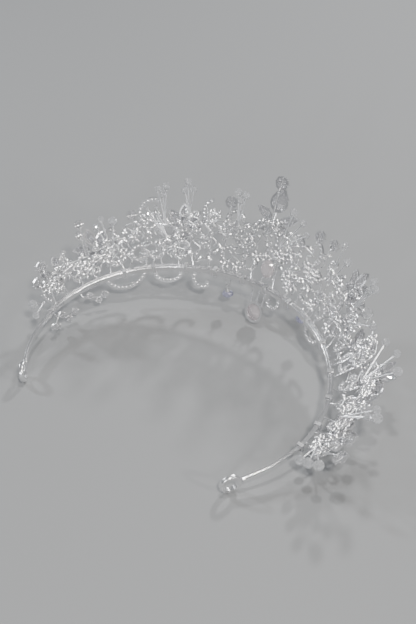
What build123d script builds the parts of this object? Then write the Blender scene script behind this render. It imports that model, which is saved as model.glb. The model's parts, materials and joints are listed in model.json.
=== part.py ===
"""Bridal tiara: a silver-plated wire band with scroll filigree, crystal flowers, bead tremblers and drops.

Design frame: the band's middle plane is XY, the front is -Y, the wearer's left is +X.  At the end the
whole tiara is tilted to the way it stands on a table, on its front foot petals and its two end loops,
and moved so that the origin is the bottom centre of its box.  Lengths in mm, angles in degrees.
"""
from build123d import *
from math import acos, atan2, cos, degrees, hypot, pi, radians, sin
import os

# ---------------------------------------------------------------- driving dimensions
HALF_WIDTH = 72.0        # band ellipse, centre line
HALF_DEPTH = 63.7
END_ANGLE = 120.5        # where the band stops, each side of the front
BAND_HEIGHT = 3.0
BAND_THICK = 1.4
CENTRE_ANGLE = -2.0      # where the crown's middle sits on the band

STAND_TILT = 8.7         # the front of the band stands higher than the ends
LEAN = 17.0              # the crown leans out from the vertical
SPLAY = 42.0             # how much further the right wing is opened out
SPLAY_FROM, SPLAY_FULL = -22.0, -78.0

LOOP_OUTER, LOOP_HOLE, LOOP_WIDTH = 5.0, 3.2, 2.2
COLLAR_R, COLLAR_LENGTH = 1.35, 1.9

STRIP_WIDTH, STRIP_THICK = 2.0, 1.0
STRIP_BACK = 0.9         # the strips' back face, out from the crown's surface
STONE_PITCH = 1.85
STONE_R = 0.78
STONE_HEIGHT = 0.75
RIB_R = 0.42             # stems between the scrolls
WIRE_R = 0.32            # binding, spray and trembler wire
BEAD_R = 1.9

BASE_WIRE = 0.85         # square wire along the band that carries a zone's filigree
BASE_OUT, BASE_UP = 0.75, 1.0
CUP_ENDS = (58.0, 92.0)  # where the left side carries a row of cups along the band

PIN_R, PIN_LENGTH = 0.35, 2.3
EYE_BORE, EYE_R, EYE_WIDTH = 0.43, 0.95, 0.9

nodes = {}               # node name -> its solids
places = {}              # joint and mount name -> its plane


# ---------------------------------------------------------------- the crown's own coordinates
def rim(t):
    return Vector(HALF_WIDTH * sin(radians(t)), -HALF_DEPTH * cos(radians(t)), 0)


def outward(t):
    return Vector(HALF_DEPTH * sin(radians(t)), -HALF_WIDTH * cos(radians(t)), 0).normalized()


def along(t):
    return Vector(HALF_WIDTH * cos(radians(t)), HALF_DEPTH * sin(radians(t)), 0).normalized()


def smooth(x):
    x = min(1.0, max(0.0, x))
    return x * x * (3 - 2 * x)


def lean(t):
    splay = SPLAY * smooth((t - SPLAY_FROM) / (SPLAY_FULL - SPLAY_FROM))
    return LEAN + STAND_TILT * cos(radians(t)) + splay


def crown(t, h, d=0.0, spin=0.0, pitch=0.0):
    """A plane at angle t on the band, h up the crown and d out of it: x along the band, y up, z out.

    pitch turns it about its x, so that its z looks further up, then spin turns it about its own z."""
    x, n = along(t), outward(t)
    up = Vector(0, 0, 1) * cos(radians(lean(t))) + n * sin(radians(lean(t)))
    out = x.cross(up)
    plane = Plane(rim(t) + up * h + out * d, x_dir=x, z_dir=out)
    return plane.rotated((-pitch, 0, 0)).rotated((0, 0, spin))


def arc_angles(step=0.5):
    """Band angle against length along the band from the crown's middle, as two lists."""
    angles, lengths = [CENTRE_ANGLE], [0.0]
    for way in (1, -1):
        t, length, found = CENTRE_ANGLE, 0.0, []
        while abs(t) < END_ANGLE:
            length += way * (rim(t + way * step) - rim(t)).length
            t += way * step
            found.append((t, length))
        angles = angles + [f[0] for f in found] if way > 0 else [f[0] for f in found][::-1] + angles
        lengths = lengths + [f[1] for f in found] if way > 0 else [f[1] for f in found][::-1] + lengths
    return angles, lengths


ANGLES, LENGTHS = arc_angles()


def length_at(t):
    """Length along the band from the crown's middle to band angle t."""
    i = max(k for k in range(len(ANGLES) - 1) if ANGLES[k] <= t or k == 0)
    return LENGTHS[i] + (LENGTHS[i + 1] - LENGTHS[i]) * (t - ANGLES[i]) / (ANGLES[i + 1] - ANGLES[i])


def angle_at(s):
    """Band angle at length s along the band from the crown's middle, left positive."""
    i = max(k for k in range(len(LENGTHS) - 1) if LENGTHS[k] <= s or k == 0)
    share = (s - LENGTHS[i]) / (LENGTHS[i + 1] - LENGTHS[i])
    return ANGLES[i] + share * (ANGLES[i + 1] - ANGLES[i])


# ---------------------------------------------------------------- small solids made once and then placed
def polyhedron(rings, tip_low=None, tip_high=None):
    """A closed solid through rings of points, bottom to top; each end is a point or a flat face."""
    faces = []
    for low, high in zip(rings, rings[1:]):
        for i in range(len(low)):
            j = (i + 1) % len(low)
            faces.append([low[i], low[j], high[j], high[i]])
    for ring, tip in ((rings[0], tip_low), (rings[-1], tip_high)):
        if tip is None:
            faces.append(ring)
        else:
            faces += [[ring[i], ring[(i + 1) % len(ring)], tip] for i in range(len(ring))]
    return Solid(Shell([Face(Wire.make_polygon(f)) for f in faces]))


def round_outline(r, count=8):
    return [(r * cos(2 * pi * k / count), r * sin(2 * pi * k / count)) for k in range(count)]


def navette_outline(length, width, count=12):
    """A pointed oval, long in y: each side is one arc through both tips."""
    r = (length ** 2 + width ** 2) / (4 * width)
    half = degrees(acos((r - width / 2) / r))
    points = []
    for side in (1, -1):
        for k in range(count // 2):
            a = radians(side * (-half + 2 * half * k / (count // 2)))
            points.append((side * (r * cos(a) - (r - width / 2)), r * sin(a)))
    return points


def pear_outline(length, width, count=12):
    """A drop, round below and pointed above; its round end is centred below the origin."""
    r, points = width / 2, []
    tip = length - r
    swing = degrees(acos(r / tip))
    for k in range(count - 1):
        a = radians(90 + swing + (360 - 2 * swing) * k / (count - 2))
        points.append((r * cos(a), r * sin(a)))
    return points + [(0, tip)]


def scaled(outline, share, z):
    return [(x * share, y * share, z) for x, y in outline]


def cut_stone(outline, crown_height, pavilion, table=0.58):
    """A faceted stone: flat table, sloping crown, girdle at z 0 and a pavilion down to a point."""
    return polyhedron([scaled(outline, 1, 0), scaled(outline, table, crown_height)], tip_low=(0, 0, -pavilion))


def flat_back_stone(r, height):
    outline = round_outline(r, 6)
    return polyhedron([scaled(outline, 1, 0), scaled(outline, 1, 0.3 * height), scaled(outline, 0.55, height)])


def rod(a, b, r=WIRE_R):
    a, b = Vector(*a), Vector(*b)
    return Solid.make_cylinder(r, (b - a).length, Plane(a, z_dir=b - a))


def wire_arc(a, middle, b, r=WIRE_R):
    path = Edge.make_three_point_arc(Vector(*a), Vector(*middle), Vector(*b))
    return Solid.sweep(Wire([Edge.make_circle(r, Plane(path @ 0, z_dir=path % 0))]), path=Wire([path]))


def ball(r, at=(0, 0, 0)):
    return Solid.make_sphere(r).moved(Location(at))


def joined(first, *others):
    return first.fuse(*others).solids()


def put(node, solids, plane=None):
    """Adds solids to a node, placed on a plane."""
    solids = solids if isinstance(solids, (list, tuple, ShapeList)) else [solids]
    place = plane.location if plane else Location()
    nodes.setdefault(node, []).extend(s.moved(place) for s in solids)


def world(plane, point):
    return plane.from_local_coords(Vector(*point))


# ---------------------------------------------------------------- mounted stones
SHALLOW = 0.8            # depth of a foil-backed round stone below its girdle
SEAT = 0.86              # size of the opening under a stone, as a share of its outline


def grown(outline, wall):
    """The outline moved out by a wall thickness, along the line from its middle."""
    return [(x * (1 + wall / hypot(x, y)), y * (1 + wall / hypot(x, y))) for x, y in outline]


def mount(outline, pavilion, arm_to=None, prongs=4):
    """An open-backed setting round a stone whose girdle is at z 0, with upright prongs and an arm."""
    top = -(1 - SEAT) * pavilion - 0.08
    wall = grown(outline, 0.45)
    outer = Wire.make_polygon(scaled(wall, 1, top - 0.9))
    hole = Wire.make_polygon(scaled(outline, SEAT, top - 0.9))
    pieces = [Solid.extrude(Face(outer, [hole]), Vector(0, 0, 0.9))]
    for k in range(prongs):
        x, y = outline[round(k * len(outline) / prongs) % len(outline)]
        reach = (hypot(x, y) + 0.27) / hypot(x, y)
        pieces.append(Solid.make_cylinder(0.23, 1.0 - top, Plane((x * reach, y * reach, top - 0.4))))
    if arm_to:
        near = min(wall, key=lambda p: hypot(p[0] - arm_to[0], p[1] - arm_to[1]))
        pieces.append(rod((near[0], near[1], top - 0.5), arm_to, 0.5))
    return joined(*pieces)


class Gem:
    """One kind of mounted stone, made once: its outline, its stone and its setting, girdle at z 0."""

    def __init__(self, outline, crown_height, pavilion, arm_to=None, prongs=4):
        self.tip = max(y for _, y in outline)
        self.stone = cut_stone(outline, crown_height, pavilion)
        self.metal = mount(outline, pavilion, arm_to, prongs)


def petal_gem(length, width, gap=1.7):
    """A navette that stands gap away from a flower's hub, long in y."""
    return Gem(navette_outline(length, width), 0.9, 1.7, arm_to=(0, -length / 2 - gap, -1.2))


def pear_gem(length, width):
    return Gem(pear_outline(length, width), 1.3, 2.4, prongs=5)


def round_gem(r, prongs=4):
    return Gem(round_outline(r), 0.45 * r, min(0.75 * r, SHALLOW), prongs=prongs)


def hollow_bead(r, depth=1.1):
    """A bead with its wire hole below, so that a wire can end in it."""
    drill = Solid.make_cylinder(WIRE_R + 0.02, depth, Plane((0, -r, 0), z_dir=(0, 1, 0)))
    return ball(r).cut(drill).solids()[0]


def placed(solids, plane):
    return [x.moved(plane.location) for x in solids]


# ---------------------------------------------------------------- band, end loops and collars
def ellipse_wall(inner, outer, low, height, t_from, t_to):
    """A wall that follows the band, from inner to outer beside its centre line."""
    def curve(offset):
        return EllipticalCenterArc(
            (0, 0), HALF_WIDTH + offset, HALF_DEPTH + offset, t_from - 90, arc_size=t_to - t_from)
    near, far = curve(inner), curve(outer)
    face = make_face([near, Line(near @ 1, far @ 1), far, Line(far @ 0, near @ 0)])
    return extrude(face, amount=height, dir=(0, 0, 1)).moved(Location((0, 0, low))).solid()


def make_band():
    half = BAND_THICK / 2
    band = ellipse_wall(-half, half, -BAND_HEIGHT / 2, BAND_HEIGHT, -END_ANGLE, END_ANGLE)
    long_edges = [e for e in band.edges() if e.length > 50]
    put("head_band", band.fillet(0.45, long_edges))
    for side, name in ((1, "left"), (-1, "right")):
        end = rim(side * END_ANGLE)
        away = along(side * END_ANGLE) * side
        out = outward(side * END_ANGLE)
        middle = end + away * (COLLAR_LENGTH + LOOP_OUTER)
        plane = Plane(middle, x_dir=away, z_dir=out)
        ring = Solid.make_cylinder(LOOP_OUTER, LOOP_WIDTH, Plane((0, 0, -LOOP_WIDTH / 2), z_dir=(0, 0, 1)))
        ring = ring.fillet(0.7, ring.edges().filter_by(GeomType.CIRCLE))
        hole = Solid.make_cylinder(LOOP_HOLE, 2 * LOOP_WIDTH, Plane((0, 0, -LOOP_WIDTH), z_dir=(0, 0, 1)))
        put(f"{name}_end_loop", ring.cut(hole).solids(), plane)
        places[f"{name}_pin_loop"] = plane
        collar = Solid.make_cylinder(COLLAR_R, COLLAR_LENGTH - 0.1, Plane(end + away * 0.02, z_dir=away))
        collar = collar.fillet(0.4, collar.edges().filter_by(GeomType.CIRCLE))
        put(f"{name}_loop_collar", collar)


def make_cup_row():
    """The row of stone-set cups along the outside of the band, on the left."""
    put("band_cup_strip", ellipse_wall(0.75, 1.75, -1.0, 1.9, *CUP_ENDS))
    stone = flat_back_stone(STONE_R, STONE_HEIGHT)
    count = int((length_at(CUP_ENDS[1]) - length_at(CUP_ENDS[0])) / STONE_PITCH)
    for k in range(count):
        t = angle_at(length_at(CUP_ENDS[0]) + (k + 0.5) * STONE_PITCH)
        put("band_cup_stones", stone, Plane(rim(t) + outward(t) * 1.8 + Vector(0, 0, -0.05), along(t), outward(t)))


# ---------------------------------------------------------------- scrolls
def walk(arcs, heading):
    """The centre line of a chain of tangent arcs from the origin: centre, radius, start angle and turn
    of each, then the end point and end heading.  A positive turn is to the left."""
    x = y = 0.0
    found = []
    for r, turn in arcs:
        side = 1 if turn > 0 else -1
        a = radians(heading + 90 * side)
        cx, cy = x + r * cos(a), y + r * sin(a)
        start = degrees(atan2(y - cy, x - cx))
        found.append((cx, cy, r, start, turn))
        x, y = cx + r * cos(radians(start + turn)), cy + r * sin(radians(start + turn))
        heading += turn
    return found, (x, y), heading


def point_on(found, length):
    """Where a length along the centre line lies."""
    for cx, cy, r, start, turn in found:
        own = r * abs(radians(turn))
        if length <= own or (cx, cy, r, start, turn) == found[-1]:
            a = radians(start + turn * length / own)
            return cx + r * cos(a), cy + r * sin(a)
        length -= own


def strip_face(arcs, heading, width):
    """The flat outline of a strip of constant width along tangent arcs, with round ends."""
    found, end, last = walk(arcs, heading)
    sides = []
    for offset in (-width / 2, width / 2):
        sides.append([CenterArc((cx, cy), r + offset * (1 if turn > 0 else -1), start, turn)
                      for cx, cy, r, start, turn in found])
    caps = [CenterArc(end, width / 2, last - 90, 180), CenterArc((0, 0), width / 2, heading + 90, 180)]
    return make_face([*sides[0], *sides[1], *caps])


def scroll(t, h, heading, arcs, stones, width=STRIP_WIDTH, back=STRIP_BACK, mirror=False):
    """A stone-set strip whose middle sits at (t, h); its stones go to their node and its metal is returned."""
    if mirror:
        heading, arcs = 180 - heading, [(r, -turn) for r, turn in arcs]
    found, end, _ = walk(arcs, heading)
    total = sum(r * abs(radians(turn)) for _, _, r, _, turn in found)
    count = max(1, round((total - 0.4) / STONE_PITCH))
    spots = [point_on(found, total * (k + 0.5) / count) for k in range(count)]
    mx = (min(p[0] for p in spots) + max(p[0] for p in spots)) / 2
    my = (min(p[1] for p in spots) + max(p[1] for p in spots)) / 2
    plane = crown(t, h, back)
    strip = extrude(strip_face(arcs, heading, width), amount=STRIP_THICK, dir=(0, 0, 1)).solids()
    stone = flat_back_stone(STONE_R, STONE_HEIGHT)
    put(stones, [stone.moved(Location((x - mx, y - my, STRIP_THICK + 0.01))) for x, y in spots], plane)
    return [x.moved(Location((-mx, -my, 0))).moved(plane.location) for x in strip]


def c_scroll(r, turn=165, curl=1.5, curl_turn=125):
    return [(curl, curl_turn), (r, turn), (curl, curl_turn)]


def s_scroll(r, turn=100, curl=1.6):
    return [(curl, 120), (r, turn), (r, -turn), (curl, -120)]


def rib(t_low, h_low, t_high, h_high, bulge=0.0):
    """A bowed stem just behind the strips' middle; it starts on the zone's base wire when h_low is 0."""
    start = crown(t_low, h_low, 1.4).origin
    if h_low == 0:
        start = rim(t_low) + outward(t_low) * (BASE_OUT + BASE_WIRE / 2) + Vector(0, 0, BASE_UP + BASE_WIRE / 2)
    end = crown(t_high, h_high, 1.4).origin
    middle = crown((t_low + t_high) / 2, (max(h_low, 2.2) + h_high) / 2, 1.4).origin + along(t_low) * (bulge + 0.05)
    return wire_arc(start, middle, end, RIB_R)


def base_wire(t_from, t_to):
    return ellipse_wall(BASE_OUT, BASE_OUT + BASE_WIRE, BASE_UP, BASE_WIRE, t_from, t_to)


# The filigree of one side: zone, band angle, height, heading, arcs.
ZONES = {"centre": (-17, 17), "left_inner": (18.5, 50), "left_outer": (51.5, 93),
         "right_inner": (-50, -18.5), "right_outer": (-99, -51.5)}
LATTICE = [
    (4.2, 9.8, 90, c_scroll(4.6)), (12.8, 9.6, -90, c_scroll(4.4)),
    (22.6, 9.4, 90, c_scroll(4.4)), (31.2, 9.2, -90, c_scroll(4.3)), (39.8, 9.6, 90, c_scroll(4.4)),
    (47.4, 8.8, -90, c_scroll(3.6)), (55.6, 9.0, 90, c_scroll(4.3)), (64.4, 8.6, -90, c_scroll(4.1)),
    (73.0, 9.4, 60, c_scroll(4.3)), (82.0, 8.8, -75, c_scroll(4.0)), (89.5, 9.2, 30, [(5.5, 130)]),
    (7.6, 19.2, 180, c_scroll(4.8)), (22.8, 19.4, 0, c_scroll(4.4)), (35.0, 19.0, 180, c_scroll(4.4)),
    (44.5, 18.4, 0, c_scroll(4.0)), (12.4, 27.4, -120, c_scroll(4.6)), (3.0, 26.0, 75, [(6.5, 95)]),
    (21.6, 29.0, 20, [(6.2, 140)]), (57.0, 18.0, 150, s_scroll(3.6, 80)), (75.5, 17.0, 15, [(5.6, 120)]),
]
CREST = (41.2, 28.8, 40, [(6.8, 150), (3.0, 60)])
RIGHT_EXTRA = [(-29.5, 28.6, 200, c_scroll(4.4)), (-40.5, 29.2, -20, c_scroll(4.4)),
               (-63.0, 18.6, 160, c_scroll(4.2)), (-93.5, 15.0, 200, c_scroll(4.0))]
RIBS = [(2, 0, 2, 22, 1.2), (8, 0, 8, 20, -1.2), (14, 0, 13, 30, 1.2), (20, 0, 22, 32, -1.4),
        (26, 0, 27, 20, 1.2), (32, 0, 33, 20, -1.2), (38.6, 0, 37.6, 24.4, 0.9), (45, 0, 45, 25, -1.2),
        (54, 0, 54, 18, 1.2), (60, 0, 60, 18, -1.2), (66, 0, 67, 14, 1.2), (73, 0, 74, 16, -1.2),
        (80, 0, 81, 17, 1.2), (88, 0, 88, 14, -1.2), (33, 20, 36, 26, 0.8), (12, 18, 7, 28, 0.8)]
BOWL = [(3.0, -35), (11.0, -100), (3.0, -35)]
U_SCROLL = [(2.6, -55), (9.0, -66), (2.6, -55)]
LOWER_LEFT = [(54.0, -5.2, -95, BOWL), (36.4, -5.4, -92, U_SCROLL), (23.0, -6.2, -60, [(4.2, -150), (1.5, -90)])]
LOWER_RIGHT = [(-9.5, -5.6, 240, [(3.6, 150), (1.5, 90)]), (-33.0, -5.0, -92, [(2.6, -55), (7.0, -66), (2.6, -55)])]


def zone_of(t):
    return next((z for z, (low, high) in ZONES.items() if low - 1.4 <= t <= high + 1.4), None)


def make_filigree():
    metal = {zone: [base_wire(*ends)] for zone, ends in ZONES.items()}
    rows = [(t, h, a, arcs, False) for t, h, a, arcs in LATTICE + [CREST] + RIGHT_EXTRA]
    rows += [(-t, h, a, arcs, True) for t, h, a, arcs in LATTICE]
    for t, h, heading, arcs, mirror in rows:
        zone = zone_of(t)
        metal[zone] += scroll(t, h, heading, arcs, f"{zone}_filigree_stones", mirror=mirror)
    for t_low, h_low, t_high, h_high, bulge in RIBS:
        for side in (1, -1):
            metal[zone_of(side * t_low)].append(rib(side * t_low, h_low, side * t_high, h_high, side * bulge))
    for t_low, t_high, h_high in ((-94, -94, 16), (-29.2, -29.8, 27), (-41.6, -41.8, 28)):
        metal[zone_of(t_low)].append(rib(t_low, 0, t_high, h_high, 0.9))
    for zone, pieces in metal.items():
        put(f"{zone}_filigree", joined(*pieces))
    for side, rows in (("left", LOWER_LEFT), ("right", LOWER_RIGHT)):
        pieces = []
        for t, h, heading, arcs in rows:
            pieces += scroll(t, h, heading, arcs, "lower_scroll_stones", back=0.8)
        put("lower_scrolls", pieces)


# ---------------------------------------------------------------- flowers
PETAL = petal_gem(8.6, 4.6)
SLIM_PETAL = petal_gem(10.6, 4.0)
SMALL_PETAL = petal_gem(6.4, 3.4, 1.4)
PETAL_TILT = 14.0        # the petals' tips stand forward
HUB_R, HUB_STONE = 1.5, 1.25
POST_END = 2.74          # how far out of the crown's surface the posts behind flowers and claws end

# name: (band angle, height, out, petals), a petal being (angle from upright, kind)
FLOWERS = {
    "centre_flower": (-0.5, 31.0, 5.4, [(-70, SLIM_PETAL), (68, SLIM_PETAL), (128, PETAL), (-128, PETAL)]),
    "left_inner_flower": (30.0, 20.0, 5.2, [
        (0, PETAL), (-48, PETAL), (48, PETAL), (-96, SMALL_PETAL), (96, SMALL_PETAL), (180, SMALL_PETAL)]),
    "left_middle_flower": (62.8, 15.0, 5.4, [
        (-8, PETAL), (50, PETAL), (-78, PETAL), (-150, SMALL_PETAL), (145, PETAL)]),
    "left_outer_flower": (80.5, 12.5, 5.0, [(20, SMALL_PETAL), (-70, SMALL_PETAL), (110, SMALL_PETAL),
                                            (200, SMALL_PETAL)]),
    "right_inner_flower": (-36.5, 26.5, 5.4, [
        (0, PETAL), (50, PETAL), (-50, PETAL), (-100, SMALL_PETAL), (105, PETAL), (180, SMALL_PETAL)]),
    "right_middle_flower": (-50.5, 12.5, 5.4, [
        (5, PETAL), (65, SMALL_PETAL), (-60, PETAL), (-120, SMALL_PETAL), (150, SMALL_PETAL)]),
    "right_outer_flower": (-63.0, 20.0, 5.6, [
        (-30, PETAL), (25, PETAL), (85, PETAL), (-88, SMALL_PETAL), (150, SMALL_PETAL)]),
    "right_end_flower": (-84.0, 9.5, 5.2, [(0, SMALL_PETAL), (72, SMALL_PETAL), (144, SMALL_PETAL),
                                           (216, SMALL_PETAL), (288, SMALL_PETAL)]),
}


def petal_plane(hub, angle, gem):
    """Where a petal stands: its long axis points away from the hub and its tip is tilted forward."""
    return Plane(hub.location * Rot(0, 0, angle) * Rot(PETAL_TILT, 0, 0) * Pos(0, gem.tip + HUB_R + 0.15, 0))


def make_flowers():
    hub_metal = round_gem(HUB_STONE)
    for name, (t, h, d, petals) in FLOWERS.items():
        hub = crown(t, h, d)
        post = Solid.make_cylinder(0.6, d - 1.5 - POST_END, Plane((0, 0, POST_END - d)))
        dish = Solid.make_cylinder(HUB_R, 0.85, Plane((0, 0, -1.75)))
        pieces = placed([post, dish] + list(hub_metal.metal), hub)
        put(f"{name}_stones", hub_metal.stone, hub)
        for angle, gem in petals:
            plane = petal_plane(hub, angle, gem)
            pieces += placed(gem.metal, plane)
            put(f"{name}_stones", gem.stone, plane)
        if name == "centre_flower":
            plane = Plane(hub.location * Pos(0, 9.6, 1.0) * Rot(8, 0, 0))
            pear = pear_gem(12.6, 8.6)
            pieces += placed(pear.metal, plane) + placed([rod((0, -4.6, -1.3), (0, -9.6, -1.6), 0.6)], plane)
            put(f"{name}_stones", pear.stone, plane)
        put(f"{name}_settings", joined(*pieces))


# ---------------------------------------------------------------- claw stones along the crest
# band angle, height, out, radius of the stone, length of its stem down behind the filigree
CLAWS = [(-1.0, 51.0, 3.0, 3.1, 17), (13.8, 35.5, 2.0, 2.8, 10), (47.5, 28.0, 1.6, 2.3, 9), (66.5, 30.5, 2.0, 1.9, 16),
         (67.5, 25.6, 2.0, 1.7, 11), (86.5, 21.5, 2.0, 2.8, 10), (91.0, 16.5, 2.0, 2.3, 6),
         (-19.5, 37.8, 2.0, 2.7, 10), (-25.5, 38.8, 2.0, 2.4, 10), (-72.0, 21.5, 2.0, 3.2, 9), (-96.5, 25.0, 2.0, 3.2, 12),
         (-89.5, 21.5, 2.0, 2.4, 8)]


def make_claws():
    kinds = {r: round_gem(r, 6) for r in sorted({c[3] for c in CLAWS})}
    for t, h, d, r, stem in CLAWS:
        plane = crown(t, h, d)
        back = -0.14 * SHALLOW - 1.03
        foot = (0, -stem, 0.45 - d)
        pieces = list(kinds[r].metal)
        pieces += [rod((-r - 0.2, 0, back), (r + 0.2, 0, back), 0.28), rod((0, -r - 0.2, back), (0, r + 0.2, back), 0.28)]
        pieces.append(rod((0, -r * 0.6, back), (0, -r - 0.4, 0.45 - d), 0.38))
        pieces.append(rod((0, -r, 0.45 - d), foot, 0.4))
        put("crest_claws", placed(joined(*pieces), plane))
        put("crest_stones", kinds[r].stone, plane)


# ---------------------------------------------------------------- stems under the band, left
# foot angle, end angle, end height, and the cups: (share along the stem, side offset, radius)
STEMS = [(76.0, 66.0, -6.5, [(0.35, 1.6, 1.3), (0.7, -1.6, 1.3), (1.0, 1.4, 1.5)]),
         (92.0, 83.0, -7.0, [(0.3, 1.7, 1.3), (0.65, -1.7, 1.3), (1.0, 1.6, 1.5)]),
         (90.0, 97.0, -5.5, [(0.6, -1.5, 1.3), (1.0, 1.5, 1.4)])]


def make_stems():
    for t_foot, t_end, h_end, cups in STEMS:
        start = crown(t_foot, -2.4, -1.5).origin
        end = crown(t_end, h_end, -2.6).origin
        middle = (start + end) * 0.5 + Vector(0, 0, -0.8)
        stem = wire_arc(start, middle, end, 0.36)
        curve = Edge.make_three_point_arc(start, middle, end)
        pieces = [stem, rod(start, crown(t_foot, -1.1, -1.15).origin, 0.36)]
        for share, side, r in cups:
            at = curve @ share
            gem = round_gem(r)
            look = crown(t_foot + (t_end - t_foot) * share, 0, 0).z_dir * -1
            up = Vector(0, 0, 1)
            plane = Plane(at + up * side - look * -1.3, x_dir=up.cross(look), z_dir=look)
            pieces += placed(gem.metal, plane)
            pieces.append(rod(at, plane.origin - look * 1.1, 0.3))
            put("stem_stones", gem.stone, plane)
        put("cup_stems", joined(*pieces))


# ---------------------------------------------------------------- oval stones at the front
def oval_outline(width, height, count=14):
    return [(width / 2 * cos(2 * pi * k / count), height / 2 * sin(2 * pi * k / count)) for k in range(count)]


def make_ovals():
    foot = Gem(oval_outline(9.0, 10.0), 1.6, 3.0, prongs=6)
    plane = crown(-2.4, -13.6, 1.6)
    hanger = [rod((0, 4.9, -1.0), (0, 11.4, -0.3), 0.5), rod((-3.2, 4.0, -1.0), (-3.6, 11.6, -0.3), 0.4),
              rod((3.2, 4.0, -1.0), (3.6, 11.6, -0.3), 0.4)]
    put("front_settings", placed(joined(*foot.metal, *hanger), plane))
    put("front_stones", foot.stone, plane)
    cabochon = Gem(oval_outline(7.0, 9.0), 1.5, 1.6, prongs=4)
    out = crown(-4.3, 10.5, -0.75)
    inward = Plane(out.origin, x_dir=-out.x_dir, z_dir=-out.z_dir)
    put("front_settings", cabochon.metal, inward)
    put("front_stones", cabochon.stone, inward)


# ---------------------------------------------------------------- bead sprays, tremblers and drops
def bead_on_wire(foot, bead, r):
    """A bead and the straight wire to it from a foot point."""
    way = (bead - foot).normalized()
    side = way.cross(Vector(0.3, 0.2, 1)).normalized()
    plane = Plane(bead, x_dir=side, z_dir=side.cross(way))
    return hollow_bead(r).moved(plane.location), rod(foot, bead - way * (r - 0.95), WIRE_R)


# foot (band angle, height, out) and beads (band angle, height, out, radius)
SPRAYS = [
    ((-6.0, 22, 0.4), [(-7.6, 41, 1.0, 1.9), (-12.0, 38.6, 1.2, 1.7), (-14.4, 34.2, 1.4, 1.6)]),
    ((36.0, 16, 0.4), [(39.2, 26.4, 1.2, 1.2), (42.0, 27.4, 1.2, 1.2), (39.0, 30.4, 1.2, 1.2), (42.2, 30.8, 1.2, 1.2)]),
    ((57.0, 11, 0.4), [(54.4, 27, 1.2, 2.3), (58.6, 29.5, 1.0, 1.7), (60.8, 26.4, 1.0, 1.7)]),
    ((93.0, 7, 0.4), [(98.0, 10.6, 1.2, 2.3), (99.2, 5.2, 1.2, 1.9)]),
    ((-30.0, 22, 0.4), [(-32.2, 37.0, 1.2, 2.0), (-29.2, 42.6, 1.0, 1.7)]),
    ((-44.0, 18, 0.4), [(-46.4, 27.6, 1.6, 2.9), (-51.0, 27.0, 1.2, 1.8)]),
    ((-66.0, 16, 0.4), [(-66.4, 33.0, 1.2, 2.2), (-61.4, 33.6, 1.2, 1.8), (-57.0, 30.0, 1.2, 1.9)]),
    ((-94.0, 8, 0.4), [(-101.4, 19.4, 1.4, 2.4), (-101.6, 12.6, 1.4, 2.3), (-101.4, 6.4, 1.4, 2.2)]),
]

# name, band angle and height of the pin, and the beads: (sideways, up, out, radius)
TREMBLERS = [
    ("centre", 10.0, 25.0, [(-2.2, 16.2, 0, 1.9), (2.0, 16.8, 0, 1.9), (0.2, 13.2, 0, 1.9)]),
    ("left_inner", 27.5, 26.0, [(0.4, 17.6, 0, 1.9), (-2.4, 14.0, 0, 1.7), (2.0, 13.4, 0, 1.8)]),
    ("left_crest", 36.0, 22.5, [(-1.6, 18.6, 0, 1.9), (2.4, 17.4, 0, 1.6), (0.2, 14.6, 0, 1.5)]),
    ("right_inner", -43.5, 24.0, [(-3.4, 15.6, 0, 1.9), (1.0, 16.4, 0, 1.9), (-1.0, 12.6, 0, 1.8)]),
    ("right_outer", -81.0, 11.0, [(-2.4, 19.6, 0, 2.4), (2.4, 17.4, 0, 2.0), (-1.2, 14.4, 0, 1.9)]),
]


def eye(plane):
    """A wire eye on the pin: its bore runs along the plane's x."""
    ring = Solid.make_cylinder(EYE_R, EYE_WIDTH, Plane((-EYE_WIDTH / 2, 0, 0), z_dir=(1, 0, 0)))
    bore = Solid.make_cylinder(EYE_BORE, EYE_WIDTH * 2, Plane((-EYE_WIDTH, 0, 0), z_dir=(1, 0, 0)))
    return ring.cut(bore).solids()[0].moved(plane.location)


def pin():
    half = PIN_LENGTH / 2
    return [rod((-half, 0, 0), (half, 0, 0), PIN_R), ball(PIN_R, (-half, 0, 0)), ball(PIN_R, (half, 0, 0))]


def make_sprays():
    for foot, beads in SPRAYS:
        start = crown(*foot).origin
        wires = []
        for t, h, d, r in beads:
            bead, wire = bead_on_wire(start, crown(t, h, d).origin, r)
            put("spray_beads", bead)
            wires.append(wire)
        put("spray_wires", joined(*wires, ball(0.55, tuple(start))))


def make_tremblers():
    for name, t, h, beads in TREMBLERS:
        plane = crown(t, h, -1.3)
        half = PIN_LENGTH / 2
        bracket = pin() + [rod((x, 0, 0), (x, 0, 1.8), PIN_R) for x in (-half, half)]
        bracket.append(rod((-4.4, 0, 1.8), (4.4, 0, 1.8), PIN_R))
        put("trembler_pins", placed(joined(*bracket), plane))
        wires = [eye(Plane.XY)]
        for x, y, z, r in beads:
            bead, wire = bead_on_wire(Vector(0, 0.72, 0), Vector(x, y, z), r)
            put(f"{name}_trembler_beads", bead, plane)
            wires.append(wire)
        put(f"{name}_trembler_wire", placed(joined(*wires), plane))
        places[f"{name}_trembler"] = plane


# which way is straight up once the tiara stands on its scrolls
STRAIGHT_UP = Vector(0, -sin(radians(STAND_TILT)), cos(radians(STAND_TILT)))


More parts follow.
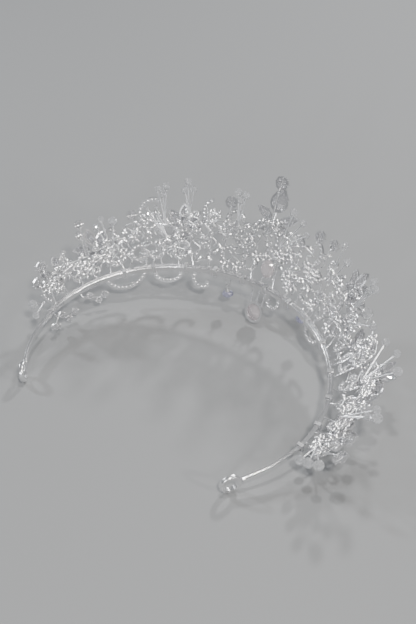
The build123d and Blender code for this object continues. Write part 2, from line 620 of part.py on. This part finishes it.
def make_drops():
    """Faceted drops that hang plumb and swing on a pin under or in front of the band."""
    half = PIN_LENGTH / 2
    for name, t, h, d, posts in (
            ("left", 11.5, -5.4, 1.3, (0, 3.7, -1.1)), ("right", -22.0, 0.0, 3.9, (0, 0, -3.05))):
        plane = crown(t, h, d)
        bracket = pin() + [rod((x, 0, 0), (x, posts[1], posts[2]), PIN_R) for x in (-half, half)]
        put("drop_pins", placed(joined(*bracket), plane))
        stone = polyhedron([scaled(round_outline(2.9, 10), 1, -4.6), scaled(round_outline(2.2, 10), 1, -2.6)],
                           tip_low=(0, 0, -7.6), tip_high=None)
        hang = degrees(atan2(STRAIGHT_UP.dot(plane.z_dir), STRAIGHT_UP.dot(plane.y_dir)))
        plumb = Plane(plane.location * Location((0, 0, 0), (hang, 0, 0)))
        upright = Plane((0, -0.75, 0), x_dir=(1, 0, 0), z_dir=(0, 1, 0))
        cap = Solid.make_cylinder(1.5, 0.45, Plane((0, -3.3, 0), z_dir=(0, 1, 0)))
        metal = [eye(Plane.XY), rod((0, -0.72, 0), (0, -3.1, 0), 0.36), cap]
        put(f"{name}_drop_stone", stone, Plane(plumb.location * upright.location))
        put(f"{name}_drop_cap", placed(joined(*metal), plumb))
        places[f"{name}_drop"] = plumb


# ---------------------------------------------------------------- binding wire
WRAPS = [5.0, 17.0, 29.0, 42.0, 54.6, -5.0, -17.0, -29.0, -42.0, -57.0, -70.0, -84.0, -96.0]


def make_wraps():
    low, high = -BAND_HEIGHT / 2 - 0.02, BASE_UP + BASE_WIRE + 0.02
    near, far = -BAND_THICK / 2 - 0.02, BASE_OUT + BASE_WIRE + 0.02
    for t in WRAPS:
        for turn in (-0.55, 0, 0.55):
            out = outward(t)
            plane = Plane(rim(t) + along(t) * turn, x_dir=out, z_dir=-along(t))
            outer = Wire.make_polygon([(near - 0.3, low - 0.3, -0.25), (far + 0.3, low - 0.3, -0.25),
                                       (far + 0.3, high + 0.3, -0.25), (near - 0.3, high + 0.3, -0.25)])
            inner = Wire.make_polygon([(near, low, -0.25), (far, low, -0.25), (far, high, -0.25), (near, high, -0.25)])
            put("binding_wraps", Solid.extrude(Face(outer, [inner]), Vector(0, 0, 0.5)), plane)


make_band()
make_cup_row()
make_filigree()
make_flowers()
make_claws()
make_stems()
make_ovals()
make_sprays()
make_tremblers()
make_drops()
make_wraps()

# ---------------------------------------------------------------- the way it stands
tilt = Location((0, 0, 0), (-STAND_TILT, 0, 0))
nodes = {name: [tilt * x for x in solids] for name, solids in nodes.items()}
boxes = [x.bounding_box() for solids in nodes.values() for x in solids]
low = Vector(*(min(getattr(b.min, axis) for b in boxes) for axis in "XYZ"))
high = Vector(*(max(getattr(b.max, axis) for b in boxes) for axis in "XYZ"))
shift = Location((-(low.X + high.X) / 2, -(low.Y + high.Y) / 2, -low.Z))
nodes = {name: [shift * x for x in solids] for name, solids in nodes.items()}
places = {name: Plane(shift * tilt * plane.location) for name, plane in places.items()}

if __name__ == "__main__":
    os.makedirs("parts", exist_ok=True)
    for name, solids in nodes.items():
        export_step(Compound(solids), f"parts/{name}.step")
    print(len(nodes), "nodes", sum(len(solids) for solids in nodes.values()), "solids, size", high - low)
    for name, plane in places.items():
        print(name, "at", plane.origin, "along", plane.x_dir, "facing", plane.z_dir)
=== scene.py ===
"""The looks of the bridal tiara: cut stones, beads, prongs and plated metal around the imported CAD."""

import json
from math import cos, pi, radians, sin

import bmesh
import bpy
import numpy as np
from mathutils import Matrix, Vector


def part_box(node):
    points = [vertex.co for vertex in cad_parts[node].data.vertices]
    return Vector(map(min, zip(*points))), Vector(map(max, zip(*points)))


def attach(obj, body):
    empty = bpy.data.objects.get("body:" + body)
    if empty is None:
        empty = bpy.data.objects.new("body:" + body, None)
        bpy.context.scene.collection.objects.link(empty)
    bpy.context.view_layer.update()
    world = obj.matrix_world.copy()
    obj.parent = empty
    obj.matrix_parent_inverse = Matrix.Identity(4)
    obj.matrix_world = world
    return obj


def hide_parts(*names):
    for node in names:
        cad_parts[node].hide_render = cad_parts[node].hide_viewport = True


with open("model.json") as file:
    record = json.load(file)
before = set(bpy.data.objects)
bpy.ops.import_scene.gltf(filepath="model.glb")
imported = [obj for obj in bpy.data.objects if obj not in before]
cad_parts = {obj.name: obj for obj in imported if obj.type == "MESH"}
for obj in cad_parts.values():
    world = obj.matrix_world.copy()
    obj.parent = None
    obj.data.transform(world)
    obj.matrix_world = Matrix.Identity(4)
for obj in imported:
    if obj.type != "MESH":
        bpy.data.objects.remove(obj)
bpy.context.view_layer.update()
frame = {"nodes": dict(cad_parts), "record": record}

# ---------------------------------------------------------------- sizes, in metres
MM = 0.001
PAVE_SIDES = 8
PRONG_R = 0.21 * MM          # the small beads of metal that hold a pave stone
PRONG_OUT = 0.93 * MM        # how far from the stone's middle they stand
CUP_R, CUP_DEPTH, CUP_SIDES = 0.74 * MM, 0.34 * MM, 8   # the rounded back of each pave seat
STRIP = 1.0 * MM             # thickness of the strip between a stone and its cup
BEAD_BANDS, BEAD_SIDES = 7, 12
SAME_LEVEL = 0.05 * MM       # corners of a stone this close in height lie in one plane

# Camera: where it looks from, as seen from the middle of the band's curve
VIEW_AZIMUTH, VIEW_ELEVATION, VIEW_ROLL = 217.995, 42.058, -0.678
VIEW_DISTANCE, LENS = 0.5207, 65.77
SHIFT_X, SHIFT_Y = 0.054, 0.1176
LOOK_HEIGHT = 0.0008         # how far above the floor the camera aims
FLOOR_SIZE = 3.0
HALF_DEPTH = 0.0644          # the band's outer half depth: from its front to the middle of its curve
STAND_TILT = 8.7


# ---------------------------------------------------------------- materials
def material(name, **sockets):
    """A Principled material with constants set on its own sockets."""
    mat = bpy.data.materials.new(name)
    mat.use_nodes = True
    shader = mat.node_tree.nodes["Principled BSDF"]
    for key, value in sockets.items():
        shader.inputs[key.replace("_", " ")].default_value = value
    return mat, shader


def add_bump(mat, shader, scale, strength, distance):
    """Fine wear on the surface, in the object's own coordinates."""
    tree = mat.node_tree
    coords = tree.nodes.new("ShaderNodeTexCoord")
    noise = tree.nodes.new("ShaderNodeTexNoise")
    bump = tree.nodes.new("ShaderNodeBump")
    noise.inputs["Scale"].default_value = scale
    noise.inputs["Detail"].default_value = 3.0
    bump.inputs["Strength"].default_value = strength
    bump.inputs["Distance"].default_value = distance
    tree.links.new(coords.outputs["Object"], noise.inputs["Vector"])
    tree.links.new(noise.outputs["Fac"], bump.inputs["Height"])
    tree.links.new(bump.outputs["Normal"], shader.inputs["Normal"])
    return noise


def make_silver(name, tint, roughness, wear):
    mat, shader = material(name, Base_Color=(*tint, 1), Metallic=1.0, Roughness=roughness)
    noise = add_bump(mat, shader, 900.0, wear, 0.00008)
    tree = mat.node_tree
    spread = tree.nodes.new("ShaderNodeMapRange")
    spread.inputs["To Min"].default_value = roughness * 0.7
    spread.inputs["To Max"].default_value = roughness * 1.5
    tree.links.new(noise.outputs["Fac"], spread.inputs["Value"])
    tree.links.new(spread.outputs["Result"], shader.inputs["Roughness"])
    return mat


def make_crystal(name, tint, clear, foil=0.3, film=0.0, ior=1.62, roughness=0.015):
    """Cut crystal: part clear, part bright from the foil and facets behind."""
    mat, shader = material(name, Base_Color=(*tint, 1), Roughness=roughness, IOR=ior)
    shader.inputs["Transmission Weight"].default_value = clear
    shader.inputs["Metallic"].default_value = foil
    shader.inputs["Coat Weight"].default_value = 0.35
    shader.inputs["Coat Roughness"].default_value = 0.02
    if film:
        shader.inputs["Thin Film Thickness"].default_value = film
        shader.inputs["Thin Film IOR"].default_value = 1.8
    add_bump(mat, shader, 420.0, 0.05, 0.00005)
    return mat


SILVER = make_silver("bright_silver_plate", (0.95, 0.95, 0.96), 0.20, 0.12)
WIRE = make_silver("drawn_silver_wire", (0.92, 0.92, 0.94), 0.28, 0.20)
CRYSTAL = make_crystal("clear_crystal", (0.98, 0.98, 1.0), 0.85, foil=0.5)
PAVE = make_crystal("pave_crystal", (0.98, 0.98, 1.0), 0.70, foil=0.6, ior=1.75)
BEAD = make_crystal("bead_crystal", (0.97, 0.98, 1.0), 0.80, foil=0.3, ior=1.6)
AURORA = make_crystal("aurora_crystal", (0.80, 0.80, 1.0), 0.85, foil=0.30, film=420.0, ior=1.7)
FOILED = make_crystal("foiled_crystal", (0.80, 0.75, 0.77), 0.35, foil=0.55, ior=1.6, roughness=0.05)


# ---------------------------------------------------------------- reading the CAD stones
def loose_parts(node):
    """The separate solids of a CAD node: (their own corner points, the way their largest flat faces)."""
    mesh = frame["nodes"][node].data
    points = np.empty(len(mesh.vertices) * 3)
    mesh.vertices.foreach_get("co", points)
    points = points.reshape(-1, 3)
    _, first, same = np.unique(np.round(points, 6), axis=0, return_index=True, return_inverse=True)
    same = same.ravel()
    parent = list(range(len(first)))

    def root(i):
        while parent[i] != i:
            parent[i] = parent[parent[i]]
            i = parent[i]
        return i

    for edge in mesh.edges:
        a, b = root(same[edge.vertices[0]]), root(same[edge.vertices[1]])
        if a != b:
            parent[a] = b
    groups, flats = {}, {}
    for i, index in enumerate(first):
        groups.setdefault(root(i), []).append(points[index])
    for face in mesh.polygons:
        sums = flats.setdefault(root(same[face.vertices[0]]), {})
        key = tuple(round(c * 40) for c in face.normal)
        sums[key] = sums.get(key, Vector((0, 0, 0))) + face.normal * face.area
    return [(np.array(g), np.array(max(flats[i].values(), key=lambda v: v.length).normalized()))
            for i, g in groups.items()]


def own_axes(stone):
    """(middle, long axis, short axis, normal) of a stone; the normal points out of its table."""
    points, normal = stone
    middle = points.mean(axis=0)
    level = (points - middle) @ normal
    across = (points - middle) - np.outer(level, normal)
    reach = np.linalg.norm(across, axis=1)
    on_flat = level > level.max() - SAME_LEVEL
    if reach[on_flat].max() > 0.97 * reach.max():
        normal = -normal
    _, _, axes = np.linalg.svd(across)
    long_axis = axes[0] - normal * (axes[0] @ normal)
    long_axis /= np.linalg.norm(long_axis)
    return middle, long_axis, np.cross(normal, long_axis), normal


def new_piece(name, bm, mat, body, slot_name, nodes=(), smooth=False):
    mesh = bpy.data.meshes.new(name)
    bmesh.ops.recalc_face_normals(bm, faces=bm.faces)
    for face in bm.faces:
        face.smooth = smooth
    bm.to_mesh(mesh)
    bm.free()
    mesh.materials.append(mat)
    obj = bpy.data.objects.new(name, mesh)
    bpy.context.scene.collection.objects.link(obj)
    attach(obj, body)
    if nodes:
        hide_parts(*nodes)
    return obj


def add_rings(bm, rings, low_tip=None, high_tip=None):
    """Facets between rings of points, which may be turned half a step from each other."""
    made = [[bm.verts.new(p) for p in ring] for ring in rings]
    for low, high in zip(made, made[1:]):
        count = len(low)
        for i in range(count):
            j = (i + 1) % count
            bm.faces.new((low[i], low[j], high[i]))
            bm.faces.new((low[j], high[j], high[i]))
    for ring, tip in ((made[0], low_tip), (made[-1], high_tip)):
        if tip is None:
            bm.faces.new(ring)
        else:
            top = bm.verts.new(tip)
            for i in range(len(ring)):
                bm.faces.new((ring[i], ring[(i + 1) % len(ring)], top))


def edge_middles(outline):
    return [((a[0] + b[0]) / 2, (a[1] + b[1]) / 2) for a, b in zip(outline, outline[1:] + outline[:1])]


def ring_maker(middle, x, y, n):
    """A function that puts a flat shape, scaled and lifted, in a stone's own axes."""
    def ring(shape, share, level):
        return [tuple(middle + x * (p[0] * share) + y * (p[1] * share) + n * level) for p in shape]
    return ring


def cut_gem(bm, stone):
    """A brilliant-cut version of a CAD stone, with the same outline, table height and depth."""
    middle, x, y, n = own_axes(stone)
    local = stone[0] - middle
    u, v, w = local @ x, local @ y, local @ n
    flat_back = (w < w.min() + SAME_LEVEL).sum() >= 3
    reach = np.hypot(u, v)
    if flat_back:
        r = reach.max()
        turns = [2 * pi * k / PAVE_SIDES for k in range(PAVE_SIDES)]
        outline = [(r * cos(a), r * sin(a)) for a in turns]
        girdle = w.min()
    else:
        girdle = w[np.argmax(reach)]
        rim = np.abs(w - girdle) < SAME_LEVEL
        order = np.argsort(np.arctan2(v[rim], u[rim]))
        outline = list(zip(u[rim][order], v[rim][order]))
    middles = edge_middles(outline)
    top = w.max()
    ring = ring_maker(middle, x, y, n)
    rise = top - girdle
    rings = [ring(outline, 1.0, girdle + rise * 0.16), ring(middles, 0.86, girdle + rise * 0.6),
             ring(outline, 0.56, top)]
    if flat_back:
        rings.insert(0, ring(outline, 1.0, girdle))
        add_rings(bm, rings)
    else:
        depth = girdle - w.min()
        rings = [ring(middles, 0.5, girdle - depth * 0.52), ring(outline, 0.985, girdle)] + rings
        add_rings(bm, rings, low_tip=tuple(middle + n * w.min()))


def add_ball(bm, centre, r):
    bmesh.ops.create_icosphere(bm, subdivisions=1, radius=r, matrix=Matrix.Translation(Vector(centre)))


def faceted_bead(bm, points, turn):
    """A round bead cut in staggered bands of facets, with a flat at each end of its hole."""
    middle = (points.max(axis=0) + points.min(axis=0)) / 2
    r = (points.max(axis=0) - points.min(axis=0)).max() / 2
    rings = []
    for k in range(BEAD_BANDS):
        a = -pi / 2 + pi * (k + 0.7) / (BEAD_BANDS + 0.4)
        first = (k % 2) * pi / BEAD_SIDES + turn
        turns = [first + 2 * pi * i / BEAD_SIDES for i in range(BEAD_SIDES)]
        rings.append([tuple(middle + np.array((r * cos(a) * cos(b), r * cos(a) * sin(b), r * sin(a))))
                      for b in turns])
    add_rings(bm, rings)


# ---------------------------------------------------------------- stones
body_of_node = {n: body for body, nodes in frame["record"]["behaviour"]["bodies"].items() for n in nodes}
slot_of_node = {part["node"]: part["material_slot"] for part in frame["record"]["subparts"]}


def pave_cup(bm, stone):
    """The prongs round a pave stone and the rounded back of its seat."""
    middle, x, y, n = own_axes(stone)
    base = middle + n * ((stone[0] - middle) @ n).min()
    for k in range(4):
        a = pi / 4 + k * pi / 2
        at = base + (x * cos(a) + y * sin(a)) * PRONG_OUT + n * 0.25 * MM
        add_ball(bm, at, PRONG_R)
    back = base - n * STRIP
    rings = []
    for share, level in ((1.0, 0.02 * MM), (0.88, -0.5 * CUP_DEPTH), (0.5, -CUP_DEPTH)):
        turns = [2 * pi * k / CUP_SIDES for k in range(CUP_SIDES)]
        rings.append([tuple(back + (x * cos(a) + y * sin(a)) * CUP_R * share + n * level) for a in turns])
    add_rings(bm, rings)


for node, obj in list(frame["nodes"].items()):
    body, slot_name = body_of_node[node], slot_of_node[node]
    if node.endswith("_beads"):
        bm = bmesh.new()
        for k, part in enumerate(loose_parts(node)):
            faceted_bead(bm, part[0], 0.4 * k)
        new_piece(f"cut_{node}", bm, BEAD, body, slot_name, [node])
    elif node.endswith("_stones") or node.endswith("_drop_stone"):
        pave = "filigree" in node or "band_cup" in node or "lower_scroll" in node
        mat = CRYSTAL
        if pave:
            mat = PAVE
        elif "drop" in node:
            mat = AURORA
        elif node == "front_stones":
            mat = FOILED
        bm, cups = bmesh.new(), bmesh.new()
        for part in loose_parts(node):
            cut_gem(bm, part)
            if pave:
                pave_cup(cups, part)
        new_piece(f"cut_{node}", bm, mat, body, slot_name, [node])
        if pave:
            new_piece(f"seats_{node}", cups, SILVER, body, "silver_plate", smooth=True)
        else:
            cups.free()
    else:
        obj.data.materials.clear()
        obj.data.materials.append(WIRE if "wire" in node or node == "binding_wraps" else SILVER)

# ---------------------------------------------------------------- vines and rhinestones between the castings
low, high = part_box("head_band")
BAND_HALF_WIDTH = (high[0] - low[0]) / 2 - 0.7 * MM
BAND_HALF_DEPTH = HALF_DEPTH - 0.7 * MM
BAND_MIDDLE_X = (low[0] + high[0]) / 2
BAND_MIDDLE_Y = low[1] + HALF_DEPTH * cos(radians(STAND_TILT))
BAND_MIDDLE_Z = high[2] - HALF_DEPTH * sin(radians(STAND_TILT)) - 1.6 * MM
LEAN, SPLAY, SPLAY_FROM, SPLAY_FULL = 17.0, 42.0, -22.0, -78.0
VINE_COUNT, ROSETTE_COUNT, LEAF_COUNT = 150, 64, 120
VINE_R, CLAW_R, ROSE_SIDES = 0.26 * MM, 0.2 * MM, 10
ROUND_STONE, ROSETTE_HUB = 1.7 * MM, 1.6 * MM
PETAL_LONG, PETAL_WIDE, PETAL_OUT, PETALS = 2.2 * MM, 1.5 * MM, 2.0 * MM, 5
LEAF_LONG, LEAF_WIDE = 4.2 * MM, 2.1 * MM
# band angle against the height that the filigree reaches there, in millimetres
SKYLINE = [(-99, 13), (-85, 15), (-72, 20), (-62, 25), (-45, 29), (-30, 33), (-15, 32), (0, 33), (13, 32),
           (22, 32), (32, 27), (41, 32), (48, 24), (57, 21), (65, 14), (76, 19), (90, 12)]


def crown_frame(t, h, d):
    """(point, along the band, up the crown, out of it) at band angle t, in the row frame."""
    a, share = radians(t), min(1.0, max(0.0, (t - SPLAY_FROM) / (SPLAY_FULL - SPLAY_FROM)))
    lean = radians(LEAN + STAND_TILT * cos(a) + SPLAY * share * share * (3 - 2 * share))
    along = np.array((BAND_HALF_WIDTH * cos(a), BAND_HALF_DEPTH * sin(a), 0))
    along /= np.linalg.norm(along)
    outward = np.array((along[1], -along[0], 0))
    up = np.array((0, 0, cos(lean))) + outward * sin(lean)
    out = np.cross(along, up)
    point = np.array((BAND_HALF_WIDTH * sin(a), -BAND_HALF_DEPTH * cos(a), 0)) + (up * h + out * d) * MM
    c, k = cos(radians(STAND_TILT)), sin(radians(STAND_TILT))
    tip = np.array(((1, 0, 0), (0, c, k), (0, -k, c)))
    middle = np.array((BAND_MIDDLE_X, BAND_MIDDLE_Y, BAND_MIDDLE_Z))
    return middle + tip @ point, tip @ along, tip @ up, tip @ out


def brilliant(bm, middle, x, y, n, outline, rise, depth):
    """A small cut stone with its girdle at the given middle."""
    middles = edge_middles(outline)
    ring = ring_maker(middle, x, y, n)
    rings = [ring(middles, 0.55, -0.5 * depth), ring(outline, 1.0, 0),
             ring(middles, 0.86, 0.6 * rise), ring(outline, 0.56, rise)]
    add_rings(bm, rings, low_tip=tuple(middle - n * depth))


def tube(bm, path, r, sides=6):
    """A wire along a path of points."""
    rings = []
    for i, point in enumerate(path):
        ahead = path[min(i + 1, len(path) - 1)] - path[max(i - 1, 0)]
        ahead = ahead / np.linalg.norm(ahead)
        side = np.cross(ahead, (0.31, 0.22, 0.93))
        side /= np.linalg.norm(side)
        other = np.cross(ahead, side)
        rings.append([tuple(point + (side * cos(2 * pi * k / sides) + other * sin(2 * pi * k / sides)) * r)
                      for k in range(sides)])
    made = [[bm.verts.new(q) for q in ring] for ring in rings]
    for a, b in zip(made, made[1:]):
        for k in range(sides):
            bm.faces.new((a[k], a[(k + 1) % sides], b[(k + 1) % sides], b[k]))
    bm.faces.new(made[0])
    bm.faces.new(made[-1])


def mounted(stones, metal, point, x, y, n, length, width):
    """A stone in a thin open cup with claws; round where its length and width are equal, else leaf-shaped."""
    count = ROSE_SIDES
    outline = []
    for k in range(count):
        a = 2 * pi * k / count
        taper = 1 if length == width else abs(cos(a)) ** 0.3
        outline.append((width / 2 * cos(a) * taper, length / 2 * sin(a)))
    brilliant(stones, point, x, y, n, outline, 0.22 * width, 0.4 * width)
    rings = []
    for share, level in ((0.62, -0.48 * width), (1.1, -0.14 * width), (1.16, 0.02 * width)):
        rings.append([tuple(point + x * (u * share) + y * (v * share) + n * level) for u, v in outline])
    made = [[metal.verts.new(q) for q in ring] for ring in rings]
    for a, b in zip(made, made[1:]):
        for k in range(count):
            metal.faces.new((a[k], a[(k + 1) % count], b[(k + 1) % count], b[k]))
    metal.faces.new(made[0])
    for k in range(4):
        a = pi / 4 + k * pi / 2
        claw = point + x * (cos(a) * width * 0.5) + y * (sin(a) * length * 0.5) + n * 0.08 * width
        add_ball(metal, claw, CLAW_R)


rng = np.random.default_rng(7)
rosette_stones, rosette_metal = bmesh.new(), bmesh.new()
vines = bmesh.new()
angles = [k[0] for k in SKYLINE]
heights = [k[1] for k in SKYLINE]
for k in range(VINE_COUNT):
    t = -98 + 187 * (k + rng.random()) / VINE_COUNT
    top = np.interp(t, angles, heights)
    h0 = 3 + (top - 9) * rng.random()
    length = 5 + 5 * rng.random()
    swing = rng.choice((-1, 1)) * (1.2 + 1.6 * rng.random())
    layer = rng.choice((0.2, 2.9))
    path = []
    for i in range(11):
        f = i / 10
        curl = swing * sin(2.6 * pi * f) * (0.4 + f)
        h = min(top, h0 + length * f - 1.6 * f ** 6)
        point, along, up, out = crown_frame(t, h, layer + 0.4 * sin(5 * f))
        path.append(point + along * curl * MM)
    tube(vines, path, VINE_R)
    mounted(rosette_stones, rosette_metal, path[-1], along, up, out, ROUND_STONE, ROUND_STONE)
for k in range(ROSETTE_COUNT):
    t = -97 + 185 * (k + rng.random()) / ROSETTE_COUNT
    top = np.interp(t, angles, heights)
    h = 5 + (top - 7) * rng.random()
    point, along, up, out = crown_frame(t, h, rng.choice((3.3, 0.1)))
    mounted(rosette_stones, rosette_metal, point, along, up, out, ROSETTE_HUB, ROSETTE_HUB)
    start = rng.random() * pi
    for j in range(PETALS):
        a = start + 2 * pi * j / PETALS
        away, across = along * cos(a) + up * sin(a), up * cos(a) - along * sin(a)
        mounted(rosette_stones, rosette_metal, point + away * PETAL_OUT, across, away, out, PETAL_LONG, PETAL_WIDE)
for k in range(LEAF_COUNT):
    t = -97 + 185 * (k + rng.random()) / LEAF_COUNT
    top = np.interp(t, angles, heights)
    h = 4 + (top - 4) * rng.random()
    point, along, up, out = crown_frame(t, h, rng.choice((3.0, 0.2)))
    a = 2 * pi * rng.random()
    away, across = along * cos(a) + up * sin(a), up * cos(a) - along * sin(a)
    mounted(rosette_stones, rosette_metal, point, across, away, out, LEAF_LONG, LEAF_WIDE)
new_piece("rhinestones", rosette_stones, PAVE, "tiara", "crystal")
new_piece("rhinestone_cups", rosette_metal, SILVER, "tiara", "silver_plate", smooth=True)
new_piece("vine_wires", vines, WIRE, "tiara", "silver_wire", smooth=True)

# ---------------------------------------------------------------- stage, light and camera
centre = Vector((BAND_MIDDLE_X, BAND_MIDDLE_Y, LOOK_HEIGHT))

bpy.ops.mesh.primitive_plane_add(size=FLOOR_SIZE, location=(0, 0, 0))
floor = bpy.context.object
floor.name = "floor"
floor_mat, _ = material("pale_floor", Base_Color=(0.20, 0.205, 0.21, 1), Roughness=0.75)
floor.data.materials.append(floor_mat)

world = bpy.data.worlds.new("studio")
bpy.context.scene.world = world
world.use_nodes = True
world.node_tree.nodes["Background"].inputs["Color"].default_value = (0.92, 0.94, 0.97, 1)
world.node_tree.nodes["Background"].inputs["Strength"].default_value = 0.28


def softbox(name, at, size, power, colour):
    light = bpy.data.lights.new(name, "AREA")
    light.energy, light.size, light.color = power, size, colour
    lamp = bpy.data.objects.new(name, light)
    lamp.location = at
    lamp.rotation_euler = (centre - Vector(at)).to_track_quat("-Z", "Y").to_euler()
    bpy.context.scene.collection.objects.link(lamp)


# name, place, side and power of each softbox, and its colour
SOFTBOXES = [
    ("key", (-0.50, 0.45, 0.80), 0.08, 9.0, (1.0, 0.96, 0.90)),
    ("fill", (0.80, 0.10, 0.45), 0.07, 4.5, (0.93, 0.96, 1.0)),
    ("back", (0.20, -0.85, 0.60), 0.08, 7.5, (1.0, 1.0, 1.0)),
    ("window", (-0.30, 0.90, 0.35), 0.07, 3.6, (0.95, 0.97, 1.0)),
    ("side", (-0.95, 0.0, 0.40), 0.07, 3.6, (1.0, 0.98, 0.95)),
    ("top", (0.0, -0.05, 0.90), 0.06, 3.6, (1.0, 0.99, 0.97)),
]
for name, place, side, power, colour in SOFTBOXES:
    softbox(name, place, side, power, colour)

az, el, roll = radians(VIEW_AZIMUTH), radians(VIEW_ELEVATION), radians(VIEW_ROLL)
ahead = Vector((-sin(az) * cos(el), cos(az) * cos(el), -sin(el)))
right = ahead.cross(Vector((0, 0, 1))).normalized()
up = right.cross(ahead)
right, up = right * cos(roll) + up * sin(roll), up * cos(roll) - right * sin(roll)
camera = bpy.data.objects.new("camera", bpy.data.cameras.new("camera"))
turn = Matrix((right, up, -ahead)).transposed().to_4x4()
camera.matrix_world = Matrix.Translation(centre - ahead * VIEW_DISTANCE) @ turn
camera.data.lens, camera.data.sensor_width = LENS, 36
camera.data.shift_x, camera.data.shift_y = SHIFT_X, SHIFT_Y
camera.data.clip_start, camera.data.clip_end = 0.01, 20
bpy.context.scene.collection.objects.link(camera)
bpy.context.scene.camera = camera
